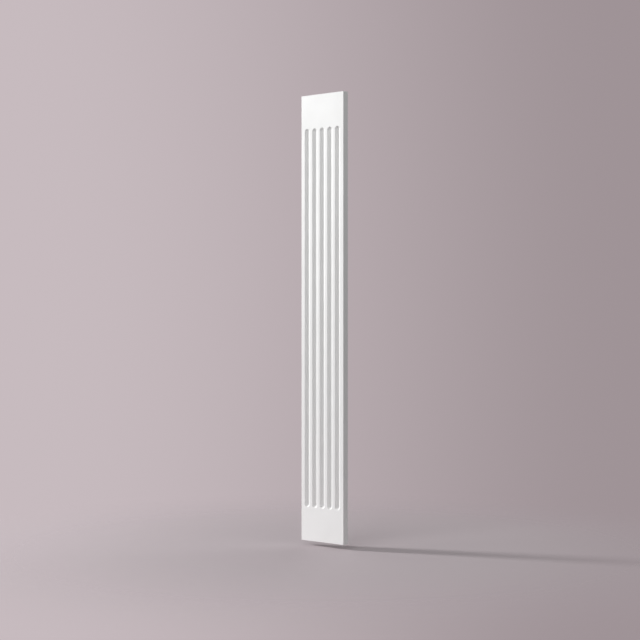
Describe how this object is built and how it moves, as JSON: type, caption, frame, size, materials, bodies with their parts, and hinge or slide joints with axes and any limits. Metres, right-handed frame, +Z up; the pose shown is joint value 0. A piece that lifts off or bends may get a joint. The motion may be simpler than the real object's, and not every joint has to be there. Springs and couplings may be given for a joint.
{
  "type": "fluted pilaster shaft",
  "caption": "Flat wall pilaster shaft with a row of round-ended upright flutes in its face and a plain block at its foot and head.",
  "frame": {"origin": "middle of the flat back face, half way up, where the shaft lies against the wall", "axes": "+Z up along the shaft, +Y out of the back into the wall so that the fluted face looks along -Y, +X to the right for someone who faces the flutes"},
  "size_m": [0.25, 0.03, 2],
  "materials": {
    "primed_white": "smooth white factory primer, matt to satin, over moulded rigid foam"
  },
  "bodies": {
    "root": {"pilaster_shaft": "primed_white"}
  },
  "joints": []
}
